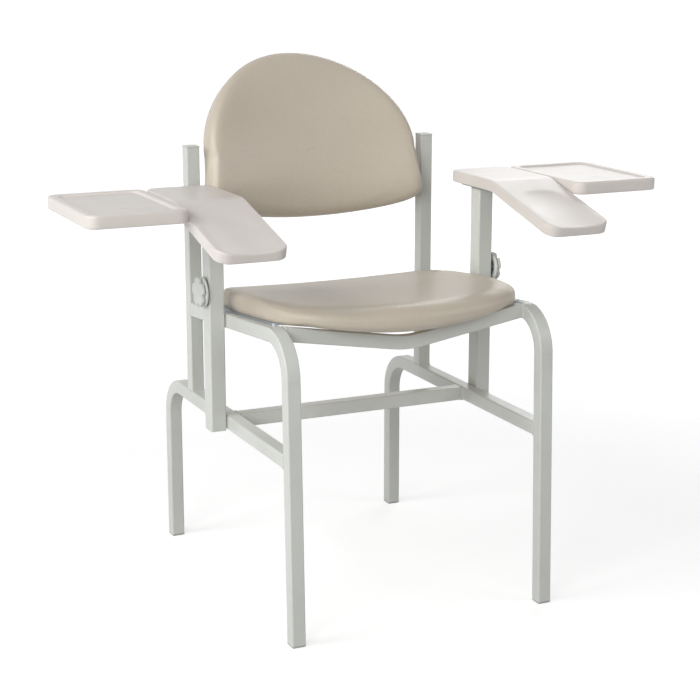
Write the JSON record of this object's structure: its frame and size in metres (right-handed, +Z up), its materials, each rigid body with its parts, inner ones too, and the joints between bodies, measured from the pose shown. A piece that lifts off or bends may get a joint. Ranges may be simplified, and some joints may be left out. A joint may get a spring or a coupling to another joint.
{
  "type": "phlebotomy chair",
  "caption": "Blood-draw chair: square steel tube frame, vinyl seat and rounded back, an armrest with a tray on each side, on posts that slide in sleeves with knob clamps",
  "frame": {"origin": "middle of the footprint, on the floor", "axes": "+X to the right as seen from the front, across the chair; +Y from the front edge to the back; +Z up"},
  "size_m": [0.946, 0.5599, 0.8292],
  "materials": {
    "frame_paint": "pale grey-green powder coat, semi-gloss",
    "bright_steel": "zinc-plated steel",
    "grey_plastic": "moulded plastic, matte",
    "knob_plastic": "moulded plastic, satin",
    "plywood": "birch plywood, bare",
    "vinyl": "smooth beige upholstery vinyl, satin",
    "arm_plastic": "moulded off-white plastic, semi-gloss"
  },
  "bodies": {
    "base": {"left_front_leg": "frame_paint", "right_front_leg": "frame_paint", "left_seat_rail": "frame_paint", "right_seat_rail": "frame_paint", "left_rear_leg": "frame_paint", "right_rear_leg": "frame_paint", "left_upright": "frame_paint", "right_upright": "frame_paint", "low_cross_bar": "frame_paint", "front_seat_bar": "frame_paint", "rear_seat_bar": "frame_paint", "left_seat_strap": "bright_steel", "right_seat_strap": "bright_steel", "back_strap": "frame_paint", "foot_glides": "grey_plastic", "upright_caps": "frame_paint", "left_arm_sleeve": "frame_paint", "right_arm_sleeve": "frame_paint", "sleeve_spacers": "frame_paint", "left_sleeve_bush": "grey_plastic", "right_sleeve_bush": "grey_plastic", "left_knob_boss": "bright_steel", "right_knob_boss": "bright_steel", "seat_board": "plywood", "seat_cushion": "vinyl", "seat_screws": "bright_steel", "seat_tee_nuts": "bright_steel", "back_board": "plywood", "back_cushion": "vinyl", "back_screws": "bright_steel", "back_tee_nuts": "bright_steel"},
    "left_arm": {"left_arm_post": "frame_paint", "left_post_plug": "grey_plastic", "left_arm_plate": "bright_steel", "left_tray_bracket": "bright_steel", "left_armrest": "arm_plastic", "left_tray": "arm_plastic", "left_arm_screws": "bright_steel", "left_tray_screws": "bright_steel"},
    "right_arm": {"right_arm_post": "frame_paint", "right_post_plug": "grey_plastic", "right_arm_plate": "bright_steel", "right_tray_bracket": "bright_steel", "right_armrest": "arm_plastic", "right_tray": "arm_plastic", "right_arm_screws": "bright_steel", "right_tray_screws": "bright_steel"},
    "left_clamp": {"left_knob": "knob_plastic", "left_knob_stud": "bright_steel"},
    "right_clamp": {"right_knob": "knob_plastic", "right_knob_stud": "bright_steel"}
  },
  "joints": [
    {"name": "left_arm_height", "type": "slide", "parent": "base", "child": "left_arm", "axis": [0, 0, 1], "range_m": [0, 0.14]},
    {"name": "right_arm_height", "type": "slide", "parent": "base", "child": "right_arm", "axis": [0, 0, 1], "range_m": [0, 0.14]},
    {"name": "left_knob_turn", "type": "hinge", "parent": "base", "child": "left_clamp", "pos_m": [-0.255, -0.009, 0.488], "axis": [-1, 0, 0], "range_deg": [0, 360]},
    {"name": "right_knob_turn", "type": "hinge", "parent": "base", "child": "right_clamp", "pos_m": [0.255, -0.009, 0.488], "axis": [1, 0, 0], "range_deg": [0, 360]}
  ]
}
